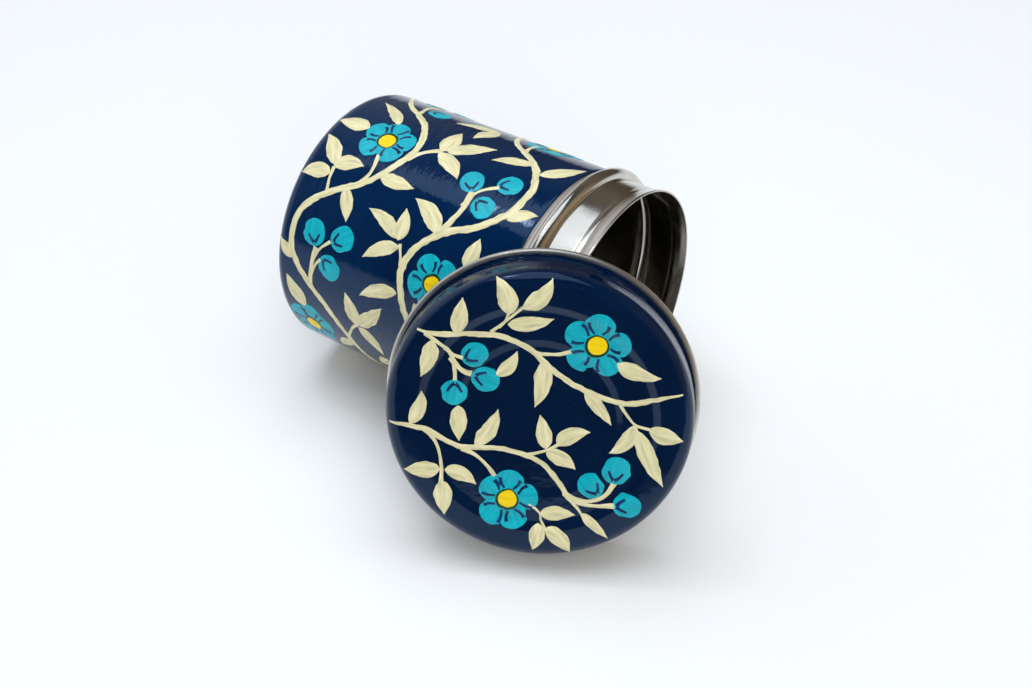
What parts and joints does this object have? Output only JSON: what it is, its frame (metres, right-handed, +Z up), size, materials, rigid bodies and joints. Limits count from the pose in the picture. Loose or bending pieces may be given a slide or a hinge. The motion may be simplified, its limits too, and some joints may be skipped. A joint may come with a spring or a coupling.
{
  "type": "spice tin",
  "caption": "Small drawn-steel tin with a painted floral enamel outside, lying on its side, with its push-on lid off and leaning on the neck.",
  "frame": {"origin": "on the surface that the tin lies on, under the middle of the whole box", "axes": "+X along the can toward its mouth, +Z up; the lid leans on the -Y side of the mouth"},
  "size_m": [0.1304, 0.1076, 0.0793],
  "materials": {
    "steel": "polished stainless steel",
    "navy_enamel": "glossy navy enamel",
    "cream_paint": "hand-painted gloss enamel",
    "turquoise_paint": "hand-painted gloss enamel",
    "yellow_paint": "hand-painted gloss enamel",
    "dark_paint": "hand-painted gloss enamel"
  },
  "bodies": {
    "can": {"can_shell": "steel", "can_enamel": "navy_enamel"},
    "lid": {"lid_shell": "steel", "lid_enamel": "navy_enamel"}
  },
  "joints": [
    {"name": "lid_lift", "type": "slide", "parent": "can", "child": "lid", "axis": [0.4426, -0.8255, 0.3502], "range_m": [0, 0.06]}
  ]
}
